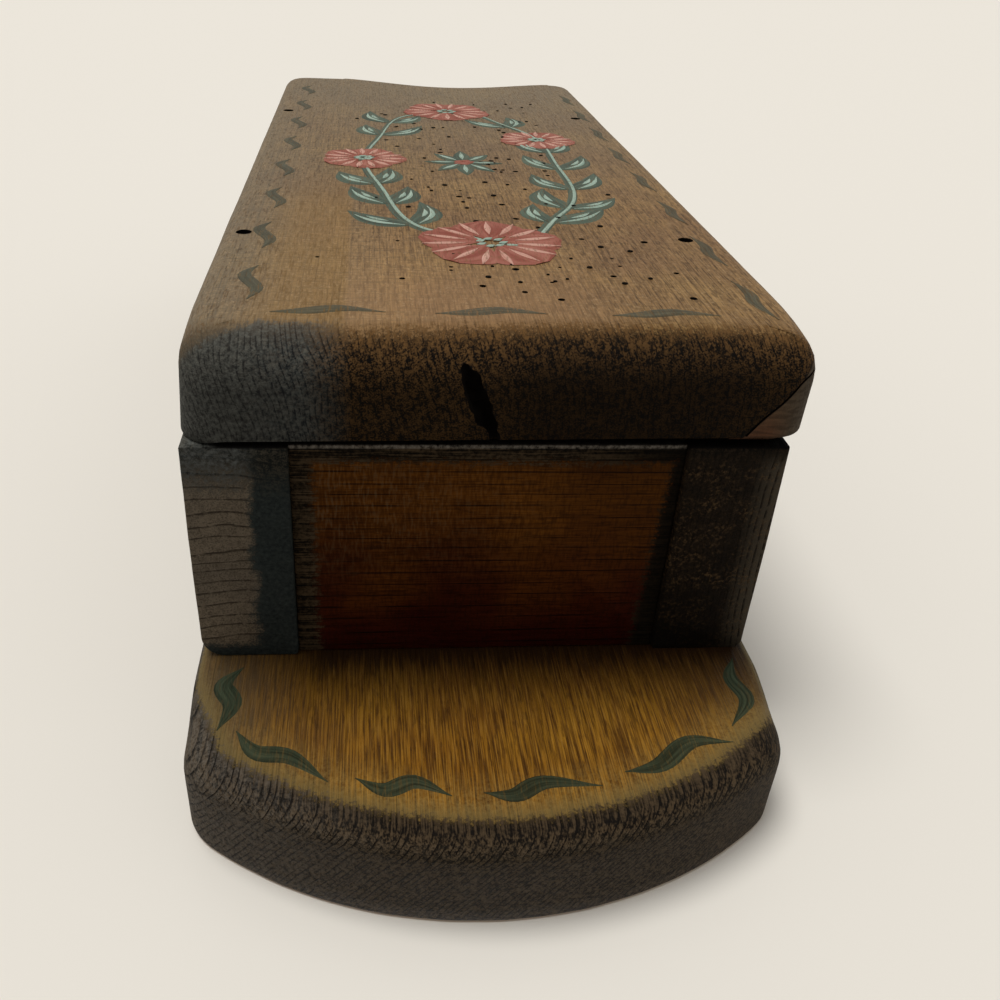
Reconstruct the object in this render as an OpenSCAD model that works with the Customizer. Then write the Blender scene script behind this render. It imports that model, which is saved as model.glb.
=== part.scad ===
// A wooden wall pocket: an open-topped pine box on a tall backboard with arched ends.
// The frame is upright, as it hangs: +Z is up the wall, the back face lies in the plane y = 0,
// the front faces -Y, and the origin is where the axis of the hanging hole meets the back face.

/* [Backboard] */
// Width of the backboard
back_w = 114; // [90:1:160]
// Thickness of the backboard
back_t = 19; // [14:0.5:25]
// Length of the tongue below the pocket
foot_len = 49; // [35:1:90]
// Rise of the backboard above the front board
head_len = 75; // [55:1:120]
// Radius of the two arched ends
arch_r = 90; // [75:1:140]
// How much is taken off the corners where an arched end meets the long sides
shoulder_trim = 2; // [0.5:0.25:3]
// How far below those corners the shoulder arcs are centred
shoulder_fall = 26; // [22:1:40]
// Roundover along the front edges of the backboard
back_edge_r = 4; // [1:0.5:8]

/* [Hanging hole] */
// Diameter of the hanging hole
hang_d = 9; // [5:0.5:14]
// Distance from the top of the arch down to the hole's axis
hang_drop = 30; // [20:1:45]

/* [Pocket] */
// Width over the outsides of the two side boards
pocket_w = 111; // [80:1:150]
// How far the left side board sits in from the backboard's left edge
pocket_inset = 1; // [0:0.5:6]
// Depth of the pocket from the backboard to the front board
pocket_depth = 48; // [36:1:90]
// Thickness of a side board
side_t = 19; // [14:0.5:25]
// How far the side boards stop below the top of the front board
side_drop = 0; // [0:1:40]
// Rounding of a side board's two outer long edges
side_edge_r = 3; // [1:0.5:6]
// Thickness of the bottom board
bottom_t = 19; // [12:0.5:30]
// How far the bottom board sits above the feet of the side boards
bottom_inset = 1.2; // [0.4:0.1:6]

/* [Front board] */
// Width of the front board
front_w = 114; // [90:1:160]
// Thickness of the front board
front_t = 20; // [14:0.5:25]
// Height of the front board
front_len = 270; // [180:1:340]
// Radius of the front board's four corners, seen from the front
front_corner_r = 8; // [5.5:0.5:20]
// Roundover along the outer edges of the front board
front_edge_r = 5; // [1:0.5:7.5]
// Width of the scoop in the front board's top edge
scoop_w = 80; // [40:1:90]
// Depth of the scoop
scoop_depth = 13; // [5:0.5:25]
// How far the scoop lies to the right of the front board's middle
scoop_shift = 6; // [-8:0.5:8]
// Bevel along the scoop's outer edge
scoop_bevel = 3; // [1:0.5:8]

/* [Nails] */
// Diameter of a nail's shank
nail_d = 2.2; // [1.4:0.1:3]
// Diameter of a nail's head
nail_head_d = 3.4; // [3.1:0.1:4.5]
// Thickness of a nail's head
nail_head_t = 1.2; // [0.8:0.1:2]
// Length of a nail
nail_len = 38; // [30:1:42]
// Length of a nail's point
nail_point = 4; // [2:0.5:6]
// Depth of a nail's head below the surface of the wood
nail_set = 1.5; // [0.5:0.1:3]
// Room between a nail and the wood around it
nail_clear = 0.05; // [0.02:0.01:0.1]
// Distance of the front nails from the outside of the side board they enter
front_nail_inset = 6.5; // [5:0.5:12]
// Height of the lower front nails above the foot of the front board
front_nail_foot = 60; // [30:1:80]
// Distance of the upper front nails below the top of the front board
front_nail_top = 72; // [50:1:100]
// Distance of the end back nails from the ends of a side board
back_nail_end = 40; // [25:1:70]
// Number of back nails in each side board
back_nails_per_side = 3; // [2:1:5]
// Distance of the bottom nails from the bottom board's front and back edges
bottom_nail_edge = 12; // [6:0.5:16]

/* [Hidden] */
$fn = 64;
// How far a cutter reaches past the face it cuts
past = 1;

// Heights of the main levels
head_tip_z = hang_drop;
pocket_top_z = head_tip_z - head_len;
pocket_foot_z = pocket_top_z - front_len;
foot_tip_z = pocket_foot_z - foot_len;
back_len = head_tip_z - foot_tip_z;
bottom_z = pocket_foot_z + bottom_inset;

// Planes from the wall outwards
pocket_back_y = -back_t;
front_back_y = pocket_back_y - pocket_depth;
front_face_y = front_back_y - front_t;

// Sides of the pocket, set out from the left edge that the three layers share
pocket_left = pocket_inset - back_w / 2;
pocket_right = pocket_left + pocket_w;
pocket_mid = (pocket_left + pocket_right) / 2;
inside_left = pocket_left + side_t;
inside_right = pocket_right - side_t;
front_mid = pocket_left + front_w / 2;
side_len = front_len - side_drop;

// Arched end: where the arch meets the long sides, and the wider arc that trims that corner
corner_drop = arch_r - sqrt(arch_r * arch_r - back_w * back_w / 4);
shoulder_drop = corner_drop + shoulder_fall;
shoulder_r = sqrt(back_w * back_w / 4 + shoulder_fall * shoulder_fall) - shoulder_trim;

// Scoop: the circle through its chord and its lowest point
scoop_r = (scoop_w * scoop_w / 4 + scoop_depth * scoop_depth) / (2 * scoop_depth);

// Colours
aged_pine = "#8A6234";
dark_pine = "#5B3D22";
scorched_pine = "#3B2A1C";
old_iron = "#2A2623";

// Section of a board edge from a centre line out to a rounded outer corner
module edge_profile(reach, t, r) {
    square([reach - r, t]);
    square([reach, t - r]);
    translate([reach - r, t - r])
        intersection() {
            circle(r);
            square(r);
        }
}

// Section across a whole board with both outer corners rounded
module board_profile(w, t, r) {
    edge_profile(w / 2, t, r);
    mirror([1, 0]) edge_profile(w / 2, t, r);
}

// Straight run of a board along +y, from y0 to y1
module board_run(w, t, r, y0, y1) {
    translate([0, y1, 0])
        rotate([90, 0, 0])
            linear_extrude(y1 - y0)
                board_profile(w, t, r);
}

// Straight edge of a board that faces +y, of a given width, reaching out from y = 0
module board_end(w, t, r, reach) {
    translate([-w / 2, 0, 0])
        rotate([90, 0, 90])
            linear_extrude(w)
                edge_profile(reach, t, r);
}

// Round stretch of a board's edge, from one angle over a sweep
module board_arc(radius, t, r, from, sweep) {
    rotate([0, 0, from])
        rotate_extrude(angle = sweep)
            edge_profile(radius, t, r);
}

// Long board with round ends: two discs, centred a given way in from the tips of the backboard
module round_ended(radius, drop) {
    w = back_w + 2 * past;
    translate([-w / 2, drop, 0]) cube([w, back_len - 2 * drop, back_t]);
    for (y = [drop, back_len - drop])
        translate([0, y, 0]) rotate_extrude() edge_profile(radius, back_t, back_edge_r);
}

// Blank of the backboard, standing on y = 0: straight sides, arched ends and trimmed shoulders
module back_blank() {
    intersection() {
        board_run(back_w, back_t, back_edge_r, 0, back_len);
        round_ended(arch_r, arch_r);
        round_ended(shoulder_r, shoulder_drop);
    }
}

// Blank of the front board, standing on y = 0, with four rounded corners
module front_blank() {
    r = front_corner_r;
    flat_w = front_w - 2 * r;
    board_run(front_w, front_t, front_edge_r, r, front_len - r);
    for (end = [0, 1])
        translate([0, end * front_len, 0])
            mirror([0, 1 - end, 0])
                translate([0, -r, 0]) {
                    board_end(flat_w, front_t, front_edge_r, r);
                    for (side = [0, 1])
                        mirror([side, 0, 0])
                            translate([flat_w / 2, 0, 0])
                                board_arc(r, front_t, front_edge_r, 0, 90);
                }
}

// Cutter for the scoop, with a bevel that opens towards the outer face
module scoop_cut() {
    translate([scoop_shift, front_len - scoop_depth + scoop_r, 0]) {
        translate([0, 0, -past]) cylinder(r = scoop_r, h = front_t + 2 * past);
        translate([0, 0, front_t - scoop_bevel])
            cylinder(r1 = scoop_r, r2 = scoop_r + scoop_bevel + past, h = scoop_bevel + past);
    }
}

// One nail, driven along -z, with the top of its head at the origin
module nail() {
    rotate_extrude()
        polygon([[0, 0],
                 [nail_head_d / 2, 0],
                 [nail_head_d / 2, -nail_head_t],
                 [nail_d / 2, -nail_head_t],
                 [nail_d / 2, nail_point - nail_len],
                 [0, -nail_len]]);
}

// The room that one nail takes in the wood, with the pit left above its head
module nail_hole() {
    translate([0, 0, -nail_head_t - nail_clear])
        cylinder(d = nail_head_d + 2 * nail_clear, h = nail_head_t + nail_clear + nail_set + past);
    translate([0, 0, -nail_len - nail_clear])
        cylinder(d = nail_d + 2 * nail_clear, h = nail_len);
}

// Places of the four nails that hold the front board
module at_front_nails() {
    nail_z = [pocket_foot_z + front_nail_foot, pocket_top_z - front_nail_top];
    for (x = [pocket_left + front_nail_inset, pocket_right - front_nail_inset], z = nail_z)
        translate([x, front_face_y + nail_set, z]) rotate([90, 0, 0]) children();
}

// Places of the nails that hold the pocket from behind
module at_back_nails() {
    run = side_len - 2 * back_nail_end;
    pitch = run / (back_nails_per_side - 1);
    first_z = pocket_foot_z + back_nail_end;
    for (x = [pocket_left + side_t / 2, pocket_right - side_t / 2], i = [0 : back_nails_per_side - 1])
        translate([x, -nail_set, first_z + i * pitch]) rotate([-90, 0, 0]) children();
    translate([pocket_mid, -nail_set, bottom_z + bottom_t / 2]) rotate([-90, 0, 0]) children();
}

// Places of the nails that hold the bottom board through the sides
module at_bottom_nails() {
    z = bottom_z + bottom_t / 2;
    for (y = [pocket_back_y - bottom_nail_edge, front_back_y + bottom_nail_edge]) {
        translate([pocket_left + nail_set, y, z]) rotate([0, -90, 0]) children();
        translate([pocket_right - nail_set, y, z]) rotate([0, 90, 0]) children();
    }
}

// Tall board against the wall, with an arched tongue below and an arched head above
module backboard() {
    color(aged_pine)
        difference() {
            translate([0, 0, foot_tip_z]) rotate([90, 0, 0]) back_blank();
            translate([0, past, 0]) rotate([90, 0, 0]) cylinder(d = hang_d, h = back_t + 2 * past);
            at_back_nails() nail_hole();
        }
}

// Blank of a side board, with its outer face on x = 0 and its thickness towards +x
module side_blank() {
    translate([0, pocket_back_y, pocket_foot_z])
        linear_extrude(side_len) {
            r = side_edge_r;
            translate([r, -pocket_depth]) square([side_t - r, pocket_depth]);
            translate([0, r - pocket_depth]) square([side_t, pocket_depth - 2 * r]);
            translate([r, r - pocket_depth]) circle(r);
            translate([r, -r]) circle(r);
        }
}

// Holes that the nails leave in the two side boards
module side_nail_holes() {
    at_front_nails() nail_hole();
    at_back_nails() nail_hole();
    at_bottom_nails() nail_hole();
}

module left_side() {
    color(scorched_pine)
        difference() {
            translate([pocket_left, 0, 0]) side_blank();
            side_nail_holes();
        }
}

module right_side() {
    color(scorched_pine)
        difference() {
            translate([pocket_right, 0, 0]) mirror([1, 0, 0]) side_blank();
            side_nail_holes();
        }
}

// Short board that closes the foot of the pocket, between the sides
module bottom_board() {
    color(dark_pine)
        difference() {
            translate([inside_left, front_back_y, bottom_z])
                cube([inside_right - inside_left, pocket_depth, bottom_t]);
            at_back_nails() nail_hole();
            at_bottom_nails() nail_hole();
        }
}

// Painted front board, nailed over the edges of the two sides
module front_board() {
    color(aged_pine)
        difference() {
            translate([front_mid, front_back_y, pocket_foot_z])
                rotate([90, 0, 0])
                    difference() {
                        front_blank();
                        scoop_cut();
                    }
            at_front_nails() nail_hole();
        }
}

module front_nails() {
    color(old_iron) at_front_nails() nail();
}

module back_nails() {
    color(old_iron) at_back_nails() nail();
}

module bottom_nails() {
    color(old_iron) at_bottom_nails() nail();
}

backboard();
left_side();
right_side();
bottom_board();
front_board();
front_nails();
back_nails();
bottom_nails();
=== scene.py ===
"""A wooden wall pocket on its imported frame: worn pine boards, set nails and brushed decoration."""
import math
import random
from types import SimpleNamespace

import bmesh
import bpy
from mathutils import Matrix, Vector, noise


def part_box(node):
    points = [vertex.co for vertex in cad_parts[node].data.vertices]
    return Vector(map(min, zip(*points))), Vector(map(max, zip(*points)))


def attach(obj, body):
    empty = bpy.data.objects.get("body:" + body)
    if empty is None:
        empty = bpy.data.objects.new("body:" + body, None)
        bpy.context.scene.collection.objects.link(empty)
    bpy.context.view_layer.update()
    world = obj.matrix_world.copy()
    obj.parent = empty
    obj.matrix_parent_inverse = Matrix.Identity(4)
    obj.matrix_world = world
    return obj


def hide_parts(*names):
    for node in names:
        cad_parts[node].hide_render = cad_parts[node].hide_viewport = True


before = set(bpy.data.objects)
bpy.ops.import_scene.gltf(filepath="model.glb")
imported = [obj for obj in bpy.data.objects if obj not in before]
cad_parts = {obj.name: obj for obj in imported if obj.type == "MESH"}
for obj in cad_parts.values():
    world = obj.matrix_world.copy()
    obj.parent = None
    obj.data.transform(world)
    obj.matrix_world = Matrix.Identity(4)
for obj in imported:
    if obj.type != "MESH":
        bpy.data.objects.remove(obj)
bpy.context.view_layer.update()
scene = bpy.context.scene
mm = 0.001  # sizes are in millimetres, and meshes in metres


# Backboard: one long pine plank, arched at the tongue below the pocket and at the head above it.
# Its front edges were rounded by hand, its face stained honey brown and its rim scorched dark,
# and it hangs by one drilled hole in the head.
back_low, back_high = [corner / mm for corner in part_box("backboard")]
back_thick = back_high.y - back_low.y
arch_radius = 84
arch_lean = -0.7
tip_wear = 0.3
shoulder_radius = 14
back_round = 4
back_ease = 0.3
back_levels = 4
tongue_hollow = 2.2  # extra wear where hands held the sides of the tongue
hollow_up = 27
hollow_half = 9
sheltered = 1.6  # wear that the edges beside the pocket were spared
shelter_up = 34
shelter_blend = 10
long_edge = 50  # only the long edges lie further out than this
hang_hole = 4.5
hang_rim = 0.8
hole_past = 0.6
outline_step = 1.5
wear_long = 29
wear_short = 6
edge_ring = 0.8
quarter_turn = [math.radians(angle) for angle in (0, 12, 26, 40, 54, 68, 80, 90)]


def arc(centre, radius, start, end, step=1.0):
    """Points along an arc from one angle to another, with both ends."""
    count = max(2, math.ceil(abs(end - start) * radius / step))
    turns = [start + (end - start) * index / count for index in range(count + 1)]
    return [(centre[0] + radius * math.cos(turn), centre[1] + radius * math.sin(turn)) for turn in turns]


def even_steps(points, step):
    """The closed outline through these points, again in equal steps."""
    corners = [Vector(point) for point in points] + [Vector(points[0])]
    reach = [0.0]
    for start, end in zip(corners, corners[1:]):
        reach.append(reach[-1] + (end - start).length)
    count = round(reach[-1] / step)
    stepped = []
    leg = 0
    for index in range(count):
        target = reach[-1] * index / count
        while reach[leg + 1] < target:
            leg += 1
        share = (target - reach[leg]) / (reach[leg + 1] - reach[leg])
        stepped.append(tuple(corners[leg].lerp(corners[leg + 1], share)))
    return stepped


def add_object(name, mesh):
    """Puts a mesh into the scene as a piece."""
    piece = bpy.data.objects.new(name, mesh)
    scene.collection.objects.link(piece)
    return piece


def closed_mesh(name, points, faces, weld=0.0):
    """A mesh from points in millimetres, with its faces turned outwards and its doubled points welded."""
    mesh = bpy.data.meshes.new(name)
    mesh.from_pydata([tuple(coordinate * mm for coordinate in point) for point in points], [], faces)
    shell = bmesh.new()
    shell.from_mesh(mesh)
    if weld:
        bmesh.ops.remove_doubles(shell, verts=shell.verts, dist=weld * mm)
    bmesh.ops.recalc_face_normals(shell, faces=shell.faces)
    shell.to_mesh(mesh)
    shell.free()
    return mesh


def worn_board(name, outline, thick, rounding, ease, place, levels, wear=0.2, gap=None, gap_depth=0.0):
    """A board: its outline raised through its thickness, eased at the start and rounded at the end.

    Where an open joint runs along the start, gap gives its height, and gap_depth is how far it reaches in.
    """
    low = [min(point[axis] for point in outline) for axis in (0, 1)]
    high = [max(point[axis] for point in outline) for axis in (0, 1)]
    points = []
    for index, (u, v) in enumerate(outline):
        along = Vector(outline[(index + 1) % len(outline)]) - Vector(outline[index - 1])
        inward = Vector((-along.y, along.x)).normalized()
        bend = rounding(u, v)
        base = gap(u, v) if gap else 0.0
        straight = thick - bend - ease - base
        steps = [(gap_depth, 0.0), (gap_depth, base)] if gap else []
        steps += [(ease, base), (0.3 * ease, base + 0.3 * ease)]
        steps += [(0.0, base + ease + straight * level / levels) for level in range(levels)]
        steps += [(bend * (1 - math.cos(turn)), thick - bend * (1 - math.sin(turn))) for turn in quarter_turn]
        steps.append((bend + edge_ring, thick))
        for inset, height in steps:
            spot = Vector((u, v, height))
            inset += wear * (noise.noise(spot / wear_long) + 0.35 * noise.noise(spot / wear_short))
            point = Vector((u, v)) + inward * inset
            across = min(max(point.x, low[0] + inset), high[0] - inset)
            upward = min(max(point.y, low[1] + inset), high[1] - inset)
            points.append(place(across, upward, height))
    rows = len(points) // len(outline)
    columns = [[index * rows + row for row in range(rows)] for index in range(len(outline))]
    faces = [[column[0] for column in reversed(columns)], [column[-1] for column in columns]]
    for near, far in zip(columns, columns[1:] + columns[:1]):
        faces += [(near[row], far[row], far[row + 1], near[row + 1]) for row in range(rows - 1)]
    return add_object(name, closed_mesh(name, points, faces, 0.002))


def tube(first, rings, around):
    """Faces of a closed tube whose points are numbered from first on, ring after ring."""
    faces = []
    for ring in range(rings - 1):
        start = first + ring * around
        for index in range(around):
            near = start + index
            after = start + (index + 1) % around
            faces.append((near, after, after + around, near + around))
    last = first + (rings - 1) * around
    return faces + [tuple(range(first, first + around)), tuple(range(last, last + around))]


def turned(profile, place, sides=20):
    """Points and faces of a solid turned about an axis: profile gives (radius, height) pairs."""
    points = []
    for radius, height in profile:
        for index in range(sides):
            turn = math.tau * index / sides
            points.append(place @ Vector((radius * math.cos(turn), radius * math.sin(turn), height)))
    return points, tube(0, len(profile), sides)


def joined(solids):
    """Points and faces of several solids as one list of each."""
    points, faces = [], []
    for solid_points, solid_faces in solids:
        faces += [[corner + len(points) for corner in face] for face in solid_faces]
        points += solid_points
    return points, faces


def cut_away(board, solids, lining):
    """Cuts closed solids out of a board, and gives the new faces their own lining."""
    cutter = add_object("cutter", closed_mesh("cutter", *joined(solids)))
    cutter.data.materials.append(lining)
    cut = board.modifiers.new("cut", "BOOLEAN")
    cut.operation = "DIFFERENCE"
    cut.solver = "EXACT"
    cut.material_mode = "TRANSFER"
    cut.object = cutter
    mesh = bpy.data.meshes.new_from_object(board.evaluated_get(bpy.context.evaluated_depsgraph_get()))
    board.modifiers.clear()
    board.data = mesh
    bpy.data.objects.remove(cutter)


def soften(board):
    """Smooth shading that keeps real corners crisp."""
    board.data.shade_smooth()
    board.data.set_sharp_from_angle(angle=math.radians(38))


def dress(board, wood):
    """Gives a cut board its wood, in the slot that the cut left free before the lining."""
    board.data.materials[0] = wood


def linear(colour):
    """Linear colour from an sRGB hex value."""
    parts = [int(colour[index:index + 2], 16) / 255 for index in (1, 3, 5)]
    parts = [part / 12.92 if part <= 0.04045 else ((part + 0.055) / 1.055) ** 2.4 for part in parts]
    return tuple(parts) + (1,)


def fill(tree, target, value):
    """Gives a socket a number or a colour, or links it to a node or another socket."""
    if isinstance(value, bpy.types.Node):
        value = next(socket for socket in value.outputs if socket.enabled)
    if isinstance(value, bpy.types.NodeSocket):
        tree.links.new(value, target)
    else:
        target.default_value = linear(value) if isinstance(value, str) else value


def add(tree, kind, *inputs, **settings):
    """Adds a node with its settings, and fills the sockets that it then shows, from the first on."""
    node = tree.nodes.new("ShaderNode" + kind)
    for key, value in settings.items():
        setattr(node, key, value)
    shown = [socket for socket in node.inputs if socket.enabled]
    for target, value in zip(shown, inputs):
        fill(tree, target, value)
    return node


def new_material(name):
    """An empty node material: its tree and its shader."""
    material = bpy.data.materials.new(name)
    material.use_nodes = True
    return material, material.node_tree, material.node_tree.nodes["Principled BSDF"]


def coat(tree, shader, sockets):
    """Fills a shader's sockets by their names."""
    for name, value in sockets.items():
        fill(tree, shader.inputs[name], value)


def pine_figure(tree, pith, ring, grain="Z", line=0.6, uneven=1.6, wavy=9, gaps=0.46):
    """Figure of a pine board round its pith: place in millimetres, late wood, fibres, dashes and specks.

    Ring is the width of a year. Sizes of patterns are in millimetres. Real fibres and pores are a few
    hundredths across, too fine to show, so they are drawn about ten times as coarse.
    """
    spot = add(tree, "VectorMath", add(tree, "TexCoord").outputs["Object"], 1 / mm, operation="SCALE")
    axis = add(tree, "SeparateXYZ", spot).outputs
    first, second = ("X", "Y") if grain == "Z" else ("Z", "Y")
    flat = add(tree, "CombineXYZ", axis[first], axis[second])
    drawn = add(tree, "Math", axis[grain], 1 / 30, operation="MULTIPLY")
    strand = add(tree, "CombineXYZ", axis[first], axis[second], drawn)
    nicked = add(tree, "Math", axis[grain], 1 / 6, operation="MULTIPLY")
    nick = add(tree, "CombineXYZ", axis[first], axis[second], nicked)
    blotch = add(tree, "TexNoise", spot, 1 / 24, 3)
    blotch = add(tree, "MapRange", blotch, 0.35, 0.66)
    sway = add(tree, "TexNoise", strand, 1 / 26, 3)
    radius = add(tree, "VectorMath", flat, pith + (0,), operation="DISTANCE")
    season = add(tree, "TexNoise", radius, 1 / 7, 1, noise_dimensions="1D")
    grown = add(tree, "Math", sway, wavy, radius, operation="MULTIPLY_ADD")
    grown = add(tree, "Math", season, uneven * ring, grown, operation="MULTIPLY_ADD")
    year = add(tree, "Math", grown, 1 / ring, operation="MULTIPLY")
    phase = add(tree, "Math", year, operation="FRACT")
    rise = add(tree, "MapRange", phase, line, 0.93, interpolation_type="SMOOTHSTEP")
    fall = add(tree, "MapRange", phase, 1, 0.95)
    late = add(tree, "Math", rise, fall, operation="MULTIPLY")
    broken = add(tree, "TexNoise", nick, 1 / 1.8, 2)
    broken = add(tree, "MapRange", broken, gaps - 0.1, gaps + 0.1)
    late = add(tree, "Math", late, broken, operation="MULTIPLY")
    coarse = add(tree, "TexNoise", strand, 1 / 1.0, 1)
    fine = add(tree, "TexNoise", strand, 1 / 0.3, 1)
    fibre = add(tree, "Math", coarse, 0.7, fine, operation="MULTIPLY_ADD")
    fibre = add(tree, "MapRange", fibre, 0.7, 1)
    dash = add(tree, "TexNoise", nick, 1 / 0.4, 1)
    dash = add(tree, "MapRange", dash, 0.54, 0.66)
    speck = add(tree, "TexNoise", spot, 1 / 0.8, 4, 0.8)
    speck = add(tree, "MapRange", speck, 0.35, 0.65)
    return SimpleNamespace(x=axis["X"], y=axis["Y"], z=axis["Z"], spot=spot, strand=strand, late=late,
                           fibre=fibre, dash=dash, blotch=blotch, speck=speck)


def tinted(tree, colour, *tints):
    """Tints laid over a colour one after another, each given as its strength, its tint and its shares.

    A tint shows where all its shares reach. A share is a node, or a value with the limits where the
    tint starts and where it is full.
    """
    for part, tint, *shares in tints:
        for share in shares:
            if isinstance(share, tuple):
                share = add(tree, "MapRange", *share)
            part = add(tree, "Math", share, part, operation="MULTIPLY")
        colour = add(tree, "Mix", part, colour, tint, data_type="RGBA")
    return colour


def stained(tree, figure, pale, deep, streak, line, streaking, lining, dashing):
    """Stain over pine: two tones in blotches, then fibres, the dark lines of late wood, and short pores."""
    ground = add(tree, "Mix", figure.blotch, pale, deep, data_type="RGBA")
    return tinted(tree, ground, (streaking, streak, figure.fibre), (lining, line, figure.late),
                  (dashing, line, figure.dash))


def frayed(tree, figure, depth, start, end, fray, hair=0.4):
    """How far a surface is scorched: 1 up to start, 0 past end, its border broken up by specks and fibres."""
    hairs = add(tree, "Math", figure.fibre, hair, operation="MULTIPLY")
    grit = add(tree, "Math", figure.speck, 1 - hair, hairs, operation="MULTIPLY_ADD")
    shift = add(tree, "Math", grit, -fray, depth, operation="MULTIPLY_ADD")
    return add(tree, "MapRange", shift, end - fray / 2, start - fray / 2, interpolation_type="SMOOTHSTEP")


def scorched(tree, figure, colour, mask, black, brown, rings=0.6):
    """Scorch laid over a colour: black, with brown specks and rings where the grain still shows."""
    sparks = add(tree, "Math", figure.speck, figure.fibre, operation="ADD")
    sparks = add(tree, "Math", figure.late, -rings, sparks, operation="MULTIPLY_ADD")
    sparks = add(tree, "MapRange", sparks, 0.5, 1.6)
    char = add(tree, "Mix", sparks, black, brown, data_type="RGBA")
    return add(tree, "Mix", mask, colour, char, data_type="RGBA")


def wood_surface(tree, shader, figure, colour, mask, smooth, rough, relief, gloss):
    """Old wax over wood: smoother where it was rubbed, dull where scorched, with the grain standing proud."""
    sheen = add(tree, "MapRange", mask, 0, 1, smooth, rough)
    rows = add(tree, "Math", figure.fibre, -0.8, figure.late, operation="MULTIPLY_ADD")
    height = add(tree, "Math", figure.speck, 0.6, rows, operation="MULTIPLY_ADD")
    bump = add(tree, "Bump", 0.6, relief * mm, 0.1, height)
    coat(tree, shader, {"Base Color": colour, "Roughness": sheen, "Normal": bump,
                        "Specular IOR Level": gloss})


# Pit grime: soot and old dust in holes, which swallows nearly all the light.
grime, tree, shader = new_material("pit_grime")
grit = add(tree, "TexNoise", add(tree, "TexCoord").outputs["Object"], 0.8 / mm)
soot = add(tree, "Mix", grit, "#050403", "#110C08", data_type="RGBA")
coat(tree, shader, {"Base Color": soot, "Roughness": 0.95, "Specular IOR Level": 0.05})

arch_foot = (arch_lean, back_low.z + tip_wear + arch_radius)
arch_head = (arch_lean, back_high.z - tip_wear - arch_radius)


def shoulder(side):
    """Centre of the arc that rounds a shoulder of the tongue, and the angle where it meets the arch."""
    across = side * (back_high.x - shoulder_radius)
    drop = math.sqrt((arch_radius - shoulder_radius) ** 2 - (across - arch_lean) ** 2)
    return (across, arch_foot[1] - drop), math.atan2(-drop, across - arch_lean)


left_centre, left_angle = shoulder(-1)
right_centre, right_angle = shoulder(1)
tongue = arc(left_centre, shoulder_radius, math.pi, math.tau + left_angle)
tongue += arc(arch_foot, arch_radius, left_angle, right_angle)
tongue += arc(right_centre, shoulder_radius, right_angle, 0)
head = [(x, back_low.z + back_high.z - z) for x, z in reversed(tongue)]


def back_rounding(x, z):
    """Roundover of the backboard's edges, uneven by hand and fuller along the sides of the tongue."""
    up = z - back_low.z
    hollow = math.exp(-((up - hollow_up) / hollow_half) ** 2) * (abs(x) > long_edge)
    beside = min(max((up - shelter_up) / shelter_blend, 0.0), 1.0) * (abs(x) > long_edge)
    bend = back_round * (1 + 0.22 * noise.noise(Vector((x, z, 5)) / 21))
    return bend + tongue_hollow * hollow - sheltered * beside


back_plank = worn_board("back_plank", even_steps(tongue + head, outline_step), back_thick,
                        back_rounding, back_ease, lambda x, z, height: (x, -height, z), back_levels)

nail_head = 1.75
nail_shank = 1.15
nail_set = 1.5
nail_head_thick = 1.25
nail_reach = 38.1
nail_clear = 0.05  # room left round each nail
pit_taper = 0.1
pit_lip = 0.3
pit_past = 0.5
back_nail_end = 40


def nail_room(tip, into):
    """Room for one nail: its shank, its head, and the pit left above the set head."""
    turn = Vector((0, 0, -1)).rotation_difference(into).to_matrix().to_4x4()
    profile = [(nail_shank, -nail_reach), (nail_shank, -nail_head_thick), (nail_head, -nail_head_thick),
               (nail_head, 0), (nail_head - pit_taper, nail_set - pit_lip),
               (nail_head + pit_taper, nail_set + pit_past)]
    return turned(profile, Matrix.Translation(tip) @ turn)


def nail_lines(low, high):
    """Centre lines of the outermost nails in a group that reaches from low to high."""
    return [low + nail_head - nail_clear, high - nail_head + nail_clear]


nails_low, nails_high = [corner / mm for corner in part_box("back_nails")]
pocket_low, pocket_high = [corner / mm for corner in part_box("left_side")]
back_rows = [pocket_low.z + back_nail_end, (pocket_low.z + pocket_high.z) / 2, pocket_high.z - back_nail_end]
back_columns = nail_lines(nails_low.x, nails_high.x)
back_tips = [(x, -nail_set, z) for x in back_columns for z in back_rows]
back_tips.append((sum(back_columns) / 2, -nail_set, nail_lines(nails_low.z, nails_high.z)[0]))
back_pits = [nail_room(tip, Vector((0, -1, 0))) for tip in back_tips]
hole_mouth = hang_hole + hang_rim + hole_past
hole_profile = [(hole_mouth, hole_past), (hang_hole, -hang_rim), (hang_hole, -back_thick + hang_rim),
                (hole_mouth, -back_thick - hole_past)]
back_hole = turned(hole_profile, Matrix.Rotation(math.radians(-90), 4, "X"), 48)
cut_away(back_plank, [back_hole] + back_pits, grime)
soften(back_plank)

# Honey-stained pine: straight fine grain under old wax, scorched black-brown along the rim.
honey_pine, tree, shader = new_material("honey_pine")


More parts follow.
